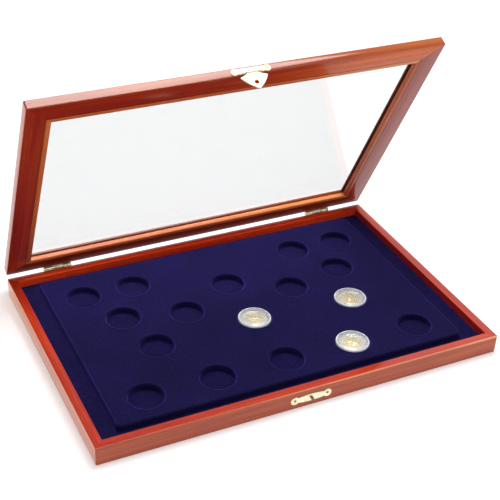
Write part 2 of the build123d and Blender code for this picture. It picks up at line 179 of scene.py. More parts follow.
def stacked(loops):
    """A shape through loops of points, closed at the first and the last."""
    count = len(loops[0])
    rings = [list(range(i * count, (i + 1) * count)) for i in range(len(loops))]
    return [point for loop in loops for point in loop], loop_faces(rings) + [rings[0][::-1], rings[-1]]


def lathe(profile, segments):
    """A profile of (radius, height) turned about Z."""
    points, rings = [], []
    for radius, height in profile:
        if radius < 1e-6:
            rings.append([len(points)] * segments)
            points.append((0, 0, height))
            continue
        rings.append([len(points) + i for i in range(segments)])
        for i in range(segments):
            t = 2 * math.pi * i / segments
            points.append((radius * math.cos(t), radius * math.sin(t), height))
    return points, loop_faces(rings)


def joined(*shapes):
    """Several (points, faces) shapes as one."""
    points, faces = [], []
    for more_points, more_faces in shapes:
        start = len(points)
        points += [tuple(p) for p in more_points]
        faces += [[i + start for i in face] for face in more_faces]
    return points, faces


def moved(shape, matrix):
    """A (points, faces) shape turned and moved by a matrix in millimetres."""
    points, faces = shape
    return [tuple(matrix @ Vector(p)) for p in points], faces


def along_x(shape, x=0, y=0, z=0):
    """A shape drawn along Z, laid along X with its origin at a point."""
    return moved(shape, Matrix.Translation((x, y, z)) @ turned(90, "Y"))


def ring_sides(rings):
    """The sides of closed rings, as pairs of points."""
    return [side for ring in rings for side in zip(ring, ring[1:] + ring[:1])]


def edge_distance(x, y, rings):
    """Distance from each point to the nearest ring."""
    best = np.full(np.shape(x), 1e9)
    for (ax, ay), (bx, by) in ring_sides(rings):
        dx, dy = bx - ax, by - ay
        length = max(dx * dx + dy * dy, 1e-12)
        t = np.clip(((x - ax) * dx + (y - ay) * dy) / length, 0, 1)
        best = np.minimum(best, np.hypot(x - ax - t * dx, y - ay - t * dy))
    return best


def inside(x, y, rings):
    """Which points lie inside the first ring and outside the others."""
    result = np.zeros(np.shape(x), bool)
    for (ax, ay), (bx, by) in ring_sides(rings):
        crosses = (ay > y) != (by > y)
        span = by - ay if abs(by - ay) > 1e-12 else 1e-12
        result ^= crosses & (x < (bx - ax) * (y - ay) / span + ax)
    return result


def filled(rings, spacing):
    """2-D points and fine triangles inside the first ring and outside the others."""
    flat = [point for ring in rings for point in ring]
    edges, start = [], 0
    for ring in rings:
        edges += [(start + i, start + (i + 1) % len(ring)) for i in range(len(ring))]
        start += len(ring)
    xs, ys = zip(*rings[0])
    left, bottom = min(xs), min(ys)
    row_step = spacing * math.sqrt(3) / 2
    rows = int((max(ys) - bottom) / row_step) + 1
    columns = int((max(xs) - left) / spacing) + 2
    row, column = np.mgrid[:rows, :columns]
    grid_x = left + (column + 0.5 * (row % 2)) * spacing
    grid_y = bottom + (row + 0.5) * row_step
    keep = inside(grid_x, grid_y, rings) & (edge_distance(grid_x, grid_y, rings) > spacing * 0.45)
    flat += list(zip(grid_x[keep].tolist(), grid_y[keep].tolist()))
    found = geometry.delaunay_2d_cdt([Vector(p) for p in flat], edges, [], 0, 1e-6)
    points, triangles = np.array(found[0]), np.array(found[2])
    middle = points[triangles].mean(axis=1)
    return points, triangles[inside(middle[:, 0], middle[:, 1], rings)]


def sheet(flat, triangles, top, bottom):
    """A closed sheet over flat triangles, from the heights of its two faces."""
    count = len(flat)
    points = [(x, y, z) for (x, y), z in zip(flat.tolist() * 2, [*top, *bottom])]
    upper = triangles.tolist()
    sides = {}
    for a, b, c in upper:
        for first, second in ((a, b), (b, c), (c, a)):
            if not sides.pop((second, first), False):
                sides[(first, second)] = True
    lower = [[c + count, b + count, a + count] for a, b, c in upper]
    return points, upper + lower + [[b, a, a + count, b + count] for a, b in sides]


def stamped(rings, thickness, relief, spacing=0.4, bevel=0.18):
    """A sheet with a flat back, its front raised by relief(x, y, distance from the edge)."""
    flat, triangles = filled(rings, spacing)
    x, y = flat[:, 0], flat[:, 1]
    distance = edge_distance(x, y, rings)
    fall = np.clip(1 - distance / bevel, 0, 1)
    height = thickness + relief(x, y, distance) - bevel * (1 - np.sqrt(1 - fall ** 2))
    return sheet(flat, triangles, height.tolist(), [0.0] * len(flat))


# ---- pieces ----
def build_mesh(name, shape, sharp_angle=32):
    """A mesh from a (points, faces) shape, smooth apart from its sharp edges."""
    points, faces = shape
    mesh = bpy.data.meshes.new(name)
    mesh.from_pydata([Vector(p) * MM for p in points], [], faces)
    work = bmesh.new()
    work.from_mesh(mesh)
    bmesh.ops.remove_doubles(work, verts=work.verts, dist=1e-7)
    bmesh.ops.recalc_face_normals(work, faces=work.faces)
    work.to_mesh(mesh)
    work.free()
    mesh.polygons.foreach_set("use_smooth", [True] * len(mesh.polygons))
    mesh.set_sharp_from_angle(angle=math.radians(sharp_angle))
    mesh.update()
    return mesh


def add_to_scene(name, data):
    """A scene object round a mesh, a lamp or a camera."""
    made = bpy.data.objects.new(name, data)
    bpy.context.scene.collection.objects.link(made)
    return made


def place(name, mesh, material, body, matrix, node):
    """Put a copy of a mesh in the scene, riding on a body and standing for a CAD node."""
    mesh = mesh.copy()
    mesh.transform(matrix)
    mesh.materials.append(material)
    piece = add_to_scene(name, mesh)
    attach(piece, body)
    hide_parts(node)


def fit(name, shape, material, body, matrix, node):
    """Place a piece that has a mesh of its own."""
    place(name, build_mesh(name, shape), material, body, matrix, node)


hinge_point = Vector((0, hinge_y, hinge_z)) * MM
lid_pose = Matrix.Translation(hinge_point) @ turned(lid_angle, "X") @ Matrix.Translation(-hinge_point)


# ---- material helpers ----
class Nodes:
    """A node tree, with short names for the nodes used here."""

    def __init__(self, tree):
        self.tree = tree

    def feed(self, socket, value):
        """Link a socket or set a plain value; a colour may leave out its alpha."""
        if isinstance(value, bpy.types.NodeSocket):
            self.tree.links.new(value, socket)
        elif socket.type == "RGBA":
            socket.default_value = (*value[:3], 1)
        else:
            socket.default_value = value

    def node(self, kind, inputs=None, **settings):
        """A new node, with inputs as {name or number of a socket: socket or value}."""
        made = self.tree.nodes.new("ShaderNode" + kind)
        for key, value in settings.items():
            setattr(made, key, value)
        for key, value in (inputs or {}).items():
            self.feed(made.inputs[key], value)
        return made

    def range(self, value, low, high, to_low, to_high):
        """A number that goes from to_low to to_high as the value rises from low to high."""
        spans = {"From Min": low, "From Max": high, "To Min": to_low, "To Max": to_high}
        return self.node("MapRange", {"Value": value} | spans).outputs["Result"]

    def blend(self, factor, first, second):
        """A number that goes from first to second."""
        return self.node("Mix", {0: factor, 2: first, 3: second}).outputs[0]

    def by_ray(self, level, glossy, transmission, camera):
        """A level, and what replaces it in reflections, through glass and seen directly."""
        path = self.node("LightPath")
        for kind, seen in (("Glossy", glossy), ("Transmission", transmission), ("Camera", camera)):
            level = self.blend(path.outputs[f"Is {kind} Ray"], level, seen)
        return level


class Shader(Nodes):
    """One material's nodes; a matrix gives it coordinates along a piece's own axes."""

    def __init__(self, name, matrix=None):
        self.material = bpy.data.materials.new(name)
        self.material.use_nodes = True
        super().__init__(self.material.node_tree)
        self.surface = self.tree.nodes["Principled BSDF"]
        self.axes = self.node("TexCoord").outputs["Object"]
        if matrix:
            spot, turn = matrix.to_translation(), matrix.to_euler("XYZ")
            inputs = {"Vector": self.axes, "Location": spot, "Rotation": turn}
            self.axes = self.node("Mapping", inputs, vector_type="TEXTURE").outputs["Vector"]

    def set(self, **values):
        """Set or link inputs of the Principled node; underscores stand for spaces."""
        for key, value in values.items():
            self.feed(self.surface.inputs[key.replace("_", " ")], value)

    def coordinates(self, scale=(1, 1, 1), offset=(0, 0, 0)):
        """The piece's coordinates, scaled and moved."""
        inputs = {"Vector": self.axes, "Location": offset, "Scale": scale}
        return self.node("Mapping", inputs).outputs["Vector"]

    def noise(self, scale, offset=(0, 0, 0), detail=3.0, roughness=0.5, distortion=0.0):
        """Noise over the piece; scale is one number, or one for each axis."""
        scale = scale if isinstance(scale, tuple) else (scale, scale, scale)
        inputs = {"Vector": self.coordinates(scale, offset), "Scale": 1.0, "Detail": detail,
                  "Roughness": roughness, "Distortion": distortion}
        return self.node("TexNoise", inputs).outputs["Fac"]

    def ramp(self, factor, *stops):
        """A colour ramp from (position, colour) stops; a plain number is a grey."""
        made = self.node("ValToRGB", {"Fac": factor})
        elements = made.color_ramp.elements
        while len(elements) < len(stops):
            elements.new(0.5)
        for element, (position, colour) in zip(elements, stops):
            element.position = position
            element.color = (*colour, 1) if isinstance(colour, tuple) else (colour, colour, colour, 1)
        return made.outputs["Color"]

    def mix(self, factor, first, second, kind="MIX"):
        """A colour that goes from first to second."""
        inputs = {0: factor, 6: first, 7: second}
        return self.node("Mix", inputs, data_type="RGBA", blend_type=kind).outputs[2]

    def times(self, first, second):
        """Two colours multiplied."""
        return self.mix(1.0, first, second, "MULTIPLY")

    def sum(self, first, second, weight):
        """The first number and a share of the second."""
        return self.node("Math", {0: second, 1: weight, 2: first}, operation="MULTIPLY_ADD").outputs[0]

    def bump(self, height, strength, distance):
        """The normal over a height, with the distance in metres."""
        inputs = {"Strength": strength, "Distance": distance, "Height": height}
        return self.node("Bump", inputs).outputs["Normal"]

    def lamps_pass(self):
        """Let lamps reach what is behind the glass, which would else stay dark."""
        shadow = self.node("LightPath").outputs["Is Shadow Ray"]
        clear = self.node("BsdfTransparent").outputs[0]
        chosen = self.node("MixShader", {0: shadow, 1: self.surface.outputs[0], 2: clear})
        self.feed(self.tree.nodes["Material Output"].inputs["Surface"], chosen.outputs[0])


def wood(name, matrix, seed, stain, zones, lacquer):
    """Stained, lacquered hardwood with its grain along the piece's own X.

    A zone is (direction, start, full, tint, lacquer). It grows from start to full, in
    millimetres along a direction on the piece's own axes, and tints the stain there; the rails
    use zones to paint light and shade onto the wood.
    """
    shade = Shader(name, matrix)
    offset = (seed * 1.37, seed * 0.61, seed * 0.23)
    wander = shade.noise((5, 30, 30), offset, detail=2)
    figure = shade.noise((2.6, 120, 120), offset, distortion=0.4)
    streak = shade.noise((9, 640, 640), offset, detail=4, roughness=0.6, distortion=0.2)
    fibre = shade.noise((70, 4200, 4200), offset, detail=2, roughness=0.6)
    pore = shade.noise((260, 5200, 5200), offset, detail=0)
    tone = shade.sum(shade.sum(shade.range(wander, 0, 1, 0, 0.34), figure, 0.34), streak, 0.32)
    plain = shade.ramp(tone, *zip((0.40, 0.50, 0.60), stain))
    colour, coat = plain, lacquer
    for direction, start, full, tint, zone_lacquer in zones:
        along = shade.node("VectorMath", {0: shade.coordinates(), 1: direction}, operation="DOT_PRODUCT")
        share = shade.range(along.outputs["Value"], start * MM, full * MM, 0, 1)
        colour = shade.mix(share, colour, shade.times(plain, tint))
        coat = shade.blend(share, coat, zone_lacquer)
    colour = shade.times(colour, shade.range(fibre, 0.3, 0.7, 0.86, 1.14))
    pores = shade.ramp(pore, (0.23, 0.0), (0.33, 1.0))
    in_pores = shade.times(colour, (0.70, 0.60, 0.60))
    height = shade.sum(shade.sum(pores, fibre, 0.5), streak, 0.5)
    shade.set(Base_Color=shade.mix(pores, in_pores, colour), IOR=1.5)
    shade.set(Roughness=shade.range(streak, 0.3, 0.7, 0.36, 0.46), Specular_IOR_Level=0.1)
    shade.set(Coat_Weight=coat, Coat_Roughness=0.10, Coat_IOR=1.5)
    shade.set(Normal=shade.bump(height, 0.12, 0.00005))
    return shade.material


def flock(name, base, sheen_weight, tint):
    """Short flock pile on a formed sheet, with painted light on its sloping rims: a painted highlight where
    they lean toward the light and painted shade where they lean away.
    """
    shade = Shader(name)
    soft = shade.noise(26)
    speck = shade.noise(2300, detail=2, roughness=0.7)
    tuft = shade.noise(430, detail=2)
    colour = base
    for pattern, depth in ((soft, 0.16), (tuft, 0.34), (speck, 0.34)):
        colour = shade.times(colour, shade.range(pattern, 0.3, 0.7, 1 - depth, 1 + depth))
    # Painted light on sloping rims, set by the normal: paler where it leans to +Y, a little darker where it
    # leans to -Y.
    lean = shade.node("SeparateXYZ", {0: shade.node("NewGeometry").outputs["Normal"]})
    rims = shade.ramp(lean.outputs["Z"], (0.25, 0.0), (0.6, 1.0), (0.93, 1.0), (0.992, 0.0))
    painted_rim_shade, painted_rim_highlight = 0.8, 2.9
    painted_rim_light = shade.range(lean.outputs["Y"], -0.25, 0.1, painted_rim_shade, painted_rim_highlight)
    colour = shade.times(colour, shade.blend(rims, 1.0, painted_rim_light))
    shade.set(Base_Color=colour, Roughness=0.95, Specular_IOR_Level=0.12)
    shade.set(Sheen_Weight=sheen_weight, Sheen_Roughness=0.38, Sheen_Tint=tint)
    shade.set(Normal=shade.bump(speck, 0.6, 0.00018))
    return shade.material


def brass(name, colour, worn, roughness, metallic=1.0, patches=260):
    """Stamped brass or another bright metal, a little uneven; less metallic is more satin."""
    shade = Shader(name)
    patch = shade.noise(patches, detail=4, roughness=0.6)
    fine = shade.noise(2600, detail=2)
    shade.set(Base_Color=shade.ramp(patch, (0.36, worn), (0.62, colour)), Metallic=metallic)
    shade.set(Roughness=shade.range(patch, 0.3, 0.7, roughness + 0.10, roughness - 0.06))
    shade.set(Normal=shade.bump(fine, 0.12, 0.00004))
    return shade.material


def clear_with_painted_rim_light(name, matrix, low, high):
    """Clear acrylic that turns white and less clear past a radius: painted light standing for the light that
    gathers in the rim.
    """
    shade = Shader(name, matrix)
    radius = shade.node("VectorMath", {0: shade.coordinates((1, 1, 0))}, operation="LENGTH").outputs["Value"]
    share = shade.range(radius, low * MM, high * MM, 0, 1)
    streaks = shade.noise((420, 420, 900), detail=2)
    outward = shade.range(radius, 0.0, 0.016, 0, 1)
    # Thin darker lines across the white rim, part of the same painted light.
    rings = shade.ramp(outward, (0.81, 0.6), (0.85, 1.0), (0.88, 0.5), (0.90, 1.0))
    painted_rim_white = shade.ramp(streaks, (0.38, (0.72, 0.72, 0.74)), (0.58, (1.0, 1.0, 1.0)))
    shade.set(Base_Color=shade.mix(share, (0.985, 0.99, 1.0), shade.times(painted_rim_white, rings)), IOR=1.49)
    shade.set(Transmission_Weight=shade.range(share, 0, 1, 1.0, 0.25))
    shade.set(Roughness=shade.range(share, 0, 1, 0.02, 0.16))
    shade.lamps_pass()
    return shade.material


def plain_board(name, dark, light, scale):
    """Pressed board or card with a fine mottle."""
    shade = Shader(name)
    speck = shade.noise(scale, detail=4, roughness=0.7)
    shade.set(Base_Color=shade.ramp(speck, (0.35, dark), (0.65, light)), Roughness=0.8)
    shade.set(Normal=shade.bump(speck, 0.3, 0.0001))
    return shade.material


# ---- wooden frames ----
sides = ("front", "right", "back", "left")
base_widths = (base_wall,) * 4
lid_widths = (lid_rail, lid_rail, lid_back_rail, lid_rail)


def corner_pull(distance):
    """How far the rounded corner draws the outer face in, this far from the mitre."""
    if distance >= corner_round:
        return 0.0
    half = 2 * corner_round - distance
    return (half - math.sqrt(half * half - 2 * (corner_round - distance) ** 2)) / 2


def rail_shape(profile, reach, seed, own, others):
    """A rail along X between two mitres, from its section (inward, up) and outer half length.

    own is this rail's width and others are the widths of the rails that it meets at its
    negative and positive ends.
    """
    near = (0.0, mitre_groove, 0.3, 0.55, 0.85, 1.2, 1.6, 2.4, 4.0, 7.0)
    steps, count = 22, len(profile)
    middle = Vector((sum(p[0] for p in profile), sum(p[1] for p in profile))) / count

    def mitre(u, end):
        other = others[0 if end < 0 else 1]
        return reach - (u * other / own if u < own else other + u - own)

    def section(end, distance, share=None):
        """The section this far from an end, or at a share of the length between the ends."""
        loop = []
        for i, (u, v) in enumerate(profile):
            pull = corner_pull(distance) * max(0.0, 1 - u / (1.6 * corner_round)) ** 2
            spot = Vector((u + pull, v))
            if distance == 0.0:
                back = Vector(profile[i - 1]) - Vector(profile[(i + 1) % count])
                normal = Vector((back.y, -back.x)).normalized()
                if (middle - spot).dot(normal) < 0:
                    normal = -normal
                spot += normal * mitre_groove
            along = end * (mitre(spot.x, end) - distance)
            if share is not None:
                first, last = distance - mitre(u, -1), mitre(u, 1) - distance
                along = first + (last - first) * share
            swell = noise.noise(Vector((along * 0.02, seed * 7.1, 0.0))) * 0.035
            loop.append((along, spot.x + swell, spot.y))
        return loop

    loops = [section(-1, distance) for distance in near]
    loops += [section(1, near[-1], k / steps) for k in range(1, steps)]
    return stacked(loops + [section(1, distance) for distance in reversed(near)])


def rail_section(kind, width):
    """Section of a rail: the base's with its rabbet, the lid's with its lip, or a glazing bead."""
    rabbet, lip, bead = width - rabbet_depth, width + lid_lip_width, width + bead_width
    glass_top = bead_height + glass_thickness
    return rounded({
        "base": [(0, 0, 0.4), (0, base_height, 0.5), (width, base_height, 0.45), (width, rabbet_top, 0),
                 (rabbet, rabbet_top, 0), (rabbet, 0, 0.2)],
        "lid": [(0, 0, 0.5), (0, lid_thickness, 0.6), (lip, lid_thickness, 0.8), (lip, glass_top, 0.15),
                (width, glass_top, 0), (width, 0, 0.35)],
        "bead": [(width, 0, 0.35), (width, bead_height, 0), (bead, bead_height, 0.1), (bead, 0, 0.5)],
    }[kind])


across, upward, lengthwise = (0, 1, 0), (0, 0, 1), (1, 0, 0)
base_stain = ((0.50, 0.024, 0.004), (0.68, 0.043, 0.007), (0.82, 0.075, 0.012))
lid_stain = ((0.31, 0.014, 0.004), (0.45, 0.030, 0.006), (0.56, 0.058, 0.010))
# A darker copy of the lid's stain, for the lid's back rail: painted shade.
shaded_lid_stain = ((0.19, 0.009, 0.003), (0.27, 0.016, 0.004), (0.34, 0.032, 0.007))
bead_stain = ((0.60, 0.11, 0.022), (0.78, 0.19, 0.045), (0.88, 0.28, 0.08))
# A darker, redder copy of the bead's stain, for the right bead: painted shade.
shaded_bead_stain = ((0.46, 0.065, 0.014), (0.62, 0.12, 0.030), (0.72, 0.18, 0.05))


def rail_look(name, width):
    """Stain, tinted zones and lacquer of one rail; most tints, and the darker stains of two rails, are
    painted light and shade.
    """
    plain, corner = (1.0, 1.0, 1.0), width + base_height
    outer, inner = (across, 0.6, 0.2), (across, width - 0.5, width - 0.2)
    # The outer faces are painted paler: painted light standing for light and reflection from the floor. The
    # left rails and the lid's back rail are painted paler still.
    painted_base_face_light, painted_lid_face_light = (*outer, (0.92, 2.1, 1.7), 1.0), (*outer, (1.1, 2.6, 1.6), 1.0)
    # A painted highlight along the base front's outer top arris, widening towards the right end.
    painted_arris_highlight = (0.004, -1, 1), base_height - 0.75, base_height - 0.45, (1.35, 8.0, 28.0), 1.0
    # The back rail's inner arris has no lacquer, which takes most of its reflection away, and its colour is
    # lifted a little over the plain stain: painted light.
    back_arris = (0, 1, 1), corner - 1.2, corner - 0.8, (1.15, 1.1, 1.1), 0.0
    # Past the rail's width lies the lid's lip, beside the glass: painted shade darkens it, strongly on the
    # front and side rails and half as much on the back rail.
    lip = across, width + 0.1, width + 0.4
    painted_lip_shade = (*lip, (0.15, 0.10, 0.10), 0.0)
    # Painted shade, without lacquer, along each bead's joint with its rail and along its top edge by the
    # glass.
    painted_bead_joint_shade = [(across, width + 0.5, width + 0.2, (0.35, 0.25, 0.25), 0.0),
                  (upward, bead_height - 0.7, bead_height - 0.3, (0.5, 0.4, 0.4), 0.0)]
    return {
        "base_front": (base_stain, [(*inner, plain, 0.8), painted_base_face_light, painted_arris_highlight], 1.0),
        # Painted shade on the right rail's inner face and painted light on the back rail's inner face.
        "base_right": (base_stain, [(*inner, (0.72, 0.55, 0.55), 0.8), painted_base_face_light], 1.0),
        "base_back": (base_stain, [(*inner, (1.35, 1.45, 1.3), 0.8), painted_base_face_light, back_arris], 1.0),
        # Painted shade towards the back end of the left rail.
        "base_left": (base_stain, [(lengthwise, -20, -90, (0.68, 0.5, 1.0), 0.7),
                                   (*inner, plain, 0.8), (*outer, (1.5, 5.0, 4.2), 1.0)], 1.0),
        # Painted light on the lid front rail's lower part, growing towards the right end; from 4.5 mm up the
        # plain stain comes back.
        "lid_front": (lid_stain, [(lengthwise, -60, 120, (1.8, 3.3, 1.0), 0.6),
                                  (upward, 4.5, 6.5, plain, 1.0), painted_lip_shade, painted_lid_face_light], 0.6),
        "lid_right": (lid_stain, [painted_lip_shade, painted_lid_face_light], 1.0),
        "lid_back": (shaded_lid_stain, [(*lip, (0.5, 0.5, 0.5), 1.0), (*outer, (2.0, 4.0, 2.4), 1.0)], 0.2),
        "lid_left": (lid_stain, [painted_lip_shade, (*outer, (1.7, 4.5, 3.0), 0.8)], 1.0),
        # Painted light towards the right end of the front bead.
        "bead_front": (bead_stain, [(lengthwise, -150, 60, (1.25, 1.5, 1.9), 0.4)] + painted_bead_joint_shade, 0.4),
        "bead_right": (shaded_bead_stain, painted_bead_joint_shade, 0.4),
        "bead_back": (bead_stain, painted_bead_joint_shade, 0.4),
        # Painted shade towards the hinge end of the left bead.
        "bead_left": (bead_stain, [(lengthwise, -20, -100, (0.62, 0.5, 0.8), 0.3)] + painted_bead_joint_shade, 0.4),
    }[name]


def frame_rails(kind, first_seed, widths, z, frame_pose, body):
    """The four mitred rails of one frame."""
    for number, side in enumerate(sides):
        half_length, outward = (half_depth, half_width) if number % 2 else (half_width, half_depth)
        width, others = widths[number], (widths[number - 1], widths[(number + 1) % 4])
        seed, name = first_seed + number, f"{kind}_{side}"
        matrix = frame_pose @ turned(90 * number, "Z") @ at(0, -outward, z)
        material = wood(f"{name}_wood", matrix, seed, *rail_look(name, width))
        shape = rail_shape(rail_section(kind, width), half_length, seed, width, others)
        place(name, build_mesh(name, shape, sharp_angle=40), material, body, matrix, f"{name}_rail")


frame_rails("base", 0, base_widths, 0, Matrix(), "case")
frame_rails("lid", 5, lid_widths, lid_bottom, lid_pose, "lid")
frame_rails("bead", 10, lid_widths, lid_bottom, lid_pose, "lid")


# ---- tray ----
def rounded_loop(area, inset, radius):
    """A rounded rectangle whose point count doesn't depend on its size."""
    (low_x, low_y), (high_x, high_y) = area
    low_x, low_y, high_x, high_y = low_x + inset, low_y + inset, high_x - inset, high_y - inset
    corners = ((high_x, high_y), (low_x, high_y), (low_x, low_y), (high_x, low_y))
    arcs = []
    for number, (x, y) in enumerate(corners):
        centre = (x - math.copysign(radius, x), y - math.copysign(radius, y))
        arcs.append(arc(centre, radius, 90 * number, 90 * number + 90, 8))
    ring, steps_along_sides = [], (58, 38)
    for number, bend in enumerate(arcs):
        (x, y), (next_x, next_y) = bend[-1], arcs[(number + 1) % 4][0]
        count = steps_along_sides[number % 2]
        ring += bend
        ring += [(x + (next_x - x) * k / count, y + (next_y - y) * k / count) for k in range(1, count)]
    return ring


def sheet_wave(x, y):
    """The formed sheet isn't quite flat: a slow wave of about a tenth of a millimetre."""
    slow = noise.noise(Vector((x / 48, y / 48, 0.3)))
    return 0.13 * slow + 0.04 * noise.noise(Vector((x / 13, y / 13, 4.1)))


def tray_shape():
    """The flocked sheet as one closed mesh: channel, raised middle and pockets."""
    points = []

    def ring_at(outline, z, wave=0.0):
        """Add a ring of points with a share of the sheet's wave; returns their numbers."""
        start = len(points)
        points.extend((x, y, z + wave * sheet_wave(x, y)) for x, y in outline)
        return list(range(start, len(points)))

    # Each step at the sheet's edge has an inset, a corner radius and a height.
    edge_steps = (
        (0, 0.6, backing_top), (0, 0.6, channel_level + 0.55), (0.25, 0.8, channel_level + 0.7),
        (0.7, 1.0, channel_level + 0.3), (1.6, 1.6, channel_level),
    )
    rings = [ring_at(rounded_loop(tray_area, inset, radius), z) for inset, radius, z in edge_steps]
    rings.append(ring_at(rounded_loop(plateau_area, -4.0, plateau_corner + 3), channel_level, 0.6))
    foot, crown, slope = 1.1, 2.1, 0.75
    for side, rise in quarter_turn(4):
        outline = rounded_loop(plateau_area, -foot * side, plateau_corner + 1)
        rings.append(ring_at(outline, channel_level + foot * rise))
    for k, (rise, side) in enumerate(quarter_turn(7)):
        outline = rounded_loop(plateau_area, slope + crown * side, plateau_corner)
        rings.append(ring_at(outline, plateau_top - crown * rise, smooth_step(k, 3, 7)))
    faces = loop_faces(rings)
    faces.append(rings[0][::-1])

    mouth, segments = pocket_radius + 2.7, 72
    rims = [circle(x, y, mouth, segments) for x, y in pockets]
    flat, triangles = filled([[points[i][:2] for i in rings[-1]]] + rims, 3.6)
    start = len(points)
    points.extend((x, y, plateau_top + sheet_wave(x, y)) for x, y in flat.tolist())
    faces += (triangles + start).tolist()

    lip, wall_top, wall_foot = 0.16, pocket_radius + 0.12, pocket_radius - 0.1
    turn_width, turn_depth, depth = 1.75, 1.15, channel_level - plateau_top
    profile = [(mouth, 0.0), (mouth - 0.45, lip * 0.45), (mouth - 0.8, lip), (wall_top + turn_width, lip)]
    turn = quarter_turn(7)[1:]
    profile += [(wall_top + turn_width * side, lip - turn_depth * rise) for side, rise in turn]
    profile += [(wall_foot + 0.1, depth + 1.2), (wall_foot, depth + 0.25), (wall_foot - 0.25, depth)]
    profile += [(radius, depth) for radius in (13.2, 9.0, 4.5)]
    for x, y in pockets:
        pocket_rings = []
        for radius, z in profile:
            wave = smooth_step(radius, wall_top, mouth)
            pocket_rings.append(ring_at(circle(x, y, radius, segments), plateau_top + z, wave))
        pocket_rings.append([len(points)] * segments)
        points.append((x, y, channel_level))
        faces += loop_faces(pocket_rings)
    return points, faces


tray_mesh = build_mesh("flocked_tray", tray_shape(), sharp_angle=60)
tray_flock = flock("tray_flock", (0.0085, 0.0060, 0.056), 0.6, (0.14, 0.11, 0.62))
place("flocked_tray", tray_mesh, tray_flock, "case", Matrix(), "coin_tray")

felt_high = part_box("base_felt_pad")[1]
felt_x, felt_y, felt_top = felt_high[0] / MM, felt_high[1] / MM, felt_high[2] / MM
outline = rounded_box((-felt_x, -felt_y), (felt_x, felt_y), 1.2)
flat, triangles = filled([outline], 6.0)
soft_edge = 0.45 * np.clip(1 - edge_distance(flat[:, 0], flat[:, 1], [outline]) / 1.5, 0, 1) ** 2
underside = [0.02 + rise + 0.05 * (1 + noise.noise(Vector((x / 9, y / 9, 1.0))))
             for (x, y), rise in zip(flat.tolist(), soft_edge.tolist())]
felt_shape = sheet(flat, triangles, [felt_top] * len(flat), underside)
felt = flock("base_felt", (0.010, 0.012, 0.045), 0.35, (0.20, 0.22, 0.50))
fit("felt_underside", felt_shape, felt, "case", Matrix(), "base_felt_pad")

for node, material in (
    ("base_bottom_panel", plain_board("hardboard", (0.16, 0.085, 0.04), (0.26, 0.15, 0.075), 900)),
    ("tray_backing", plain_board("packing_card", (0.30, 0.28, 0.25), (0.42, 0.39, 0.35), 500)),
):
    frame["nodes"][node].data.materials.clear()
    frame["nodes"][node].data.materials.append(material)

margin, ground, pane_top = 0.6, 0.25, bead_height + glass_thickness
low_x, high_x = lid_rail + margin - half_width, half_width - lid_rail - margin
low_y, high_y = lid_rail + margin - half_depth, half_depth - lid_back_rail - margin
loops = []
pane_low = bead_height
for inset, z in ((ground, pane_low), (0, pane_low + ground), (0, pane_top - ground), (ground, pane_top)):
    outline = rounded_box((low_x + inset, low_y + inset), (high_x - inset, high_y - inset), 0.6)
    loops.append([(x, y, z) for x, y in outline])
pane_glass = Shader("pane_glass")
pane_glass.set(Base_Color=(0.985, 0.995, 0.99), Transmission_Weight=1.0, Roughness=0.0, IOR=1.5)
pane_glass.lamps_pass()
in_lid = lid_pose @ at(0, 0, lid_bottom)
fit("glass_sheet", stacked(loops), pane_glass.material, "lid", in_lid, "glass_pane")


# ---- catch and hasp ----
pale_brass = brass("pale_brass", (0.93, 0.85, 0.62), (0.80, 0.68, 0.42), 0.30)
satin_brass = brass("satin_brass", (1.0, 1.0, 0.78), (0.80, 0.74, 0.46), 0.30, patches=520)
hinge_brass = brass("hinge_brass", (0.96, 0.91, 0.68), (0.40, 0.37, 0.22), 0.30, patches=420)
# Dark brass for the catch's stud and nails: partly an aged colour, partly painted shade for the shade round
# the stud and the nail heads.
aged_and_shaded_brass = brass("aged_and_shaded_brass", (0.34, 0.27, 0.13), (0.18, 0.14, 0.07), 0.36)

catch_height, catch_thickness = 8.8, 0.7
hasp_thickness = 0.8
hasp_plate_middle = lid_bottom + 4.0
hasp_axis_height = lid_bottom + 1.3
hasp_axis_out = 1.35
knuckle = 1.3
flap_knuckle_half = 5.8
ear_depth = 0.16
# An eared plate: half length and height of its spindle, waist, where its ears are, and their radius.
catch_form = (13.2, 7.6, 5.4, 16.2, 4.1)
hasp_form = (13.0, 7.2, 5.6, 15.6, 3.6)
catch_ear_x, hasp_ear_x = catch_form[3], hasp_form[3]


def on_front(x, z, out=0.0):
    """The place of a fitting on the front of the closed case, its Z out of the face."""
    return at(x, -half_depth - out, z) @ turned(90, "X")


def dome_profile(radius, height):
    """A low dome from its rim to its crown, as (radius, height)."""
    sphere = (radius * radius + height * height) / (2 * height)
    rim = math.degrees(math.asin(radius / sphere))
    tilts = [math.radians(rim * (1 - k / 6)) for k in range(7)]
    return [(sphere * math.sin(t), height - sphere + sphere * math.cos(t)) for t in tilts]


def knuckle_shape(radius, length, bevel=0.18):
    """A short barrel with broken edges, centred on the origin, along Z."""
    half = length / 2
    corners = rounded([(0, -half, 0), (radius, -half, bevel), (radius, half, bevel), (0, half, 0)], 3)
    return lathe(corners, 40)


def plate_height(x, form):
    """Half height of an eared plate at x: a spindle between two round ears."""
    half, height, waist, ear_x, ear_radius = form
    spread = half * half / (height / 2 - waist / 2)
    band = np.where(np.abs(x) <= half, height / 2 - x * x / spread, 0)
    ear = np.sqrt(np.clip(ear_radius ** 2 - (np.abs(x) - ear_x) ** 2, 0, None))
    return np.maximum(band, ear)


def eared_outline(form):
    """Outline of an eared plate: its upper edge from right to left, then its lower edge."""
    reach, steps = form[3] + form[4], 120
    x = reach * np.sin(np.linspace(-math.pi / 2, math.pi / 2, steps + 1))
    upper = list(zip(x.tolist(), plate_height(x, form).tolist()))
    return upper[::-1] + [(a, -b) for a, b in upper[1:-1]]


